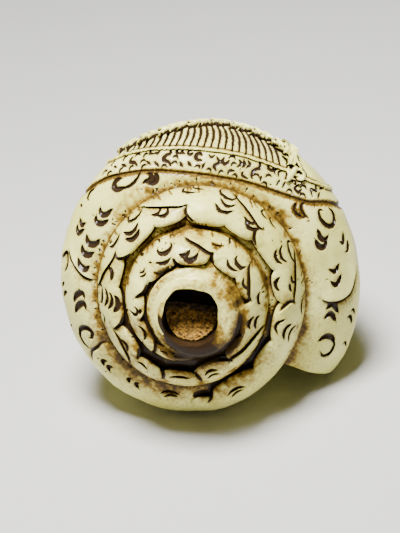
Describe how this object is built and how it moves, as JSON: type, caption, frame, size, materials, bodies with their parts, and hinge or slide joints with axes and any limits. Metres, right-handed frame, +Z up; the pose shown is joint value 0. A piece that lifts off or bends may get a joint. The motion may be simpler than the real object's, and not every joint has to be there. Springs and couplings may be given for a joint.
{
  "type": "conch shell trumpet",
  "caption": "Carved conch shell trumpet with a cut-off spire, a round mouth hole, whorls cut as scalloped cloud plates, an open aperture and a long canal.",
  "frame": {"origin": "on the surface that the shell lies on, under the middle of its bounding box", "axes": "+Y along the shell from its blown end towards the canal's tip, level; +Z up, away from the side that the aperture faces; +X to the side of the outer lip"},
  "size_m": [0.1012, 0.159, 0.0925],
  "materials": {
    "polished_shell": "polished shell, cream, brown in the cuts",
    "old_pitch": "rough granular pitch, golden brown"
  },
  "bodies": {
    "root": {"conch_shell": "polished_shell", "mouth_crust": "old_pitch"}
  },
  "joints": []
}
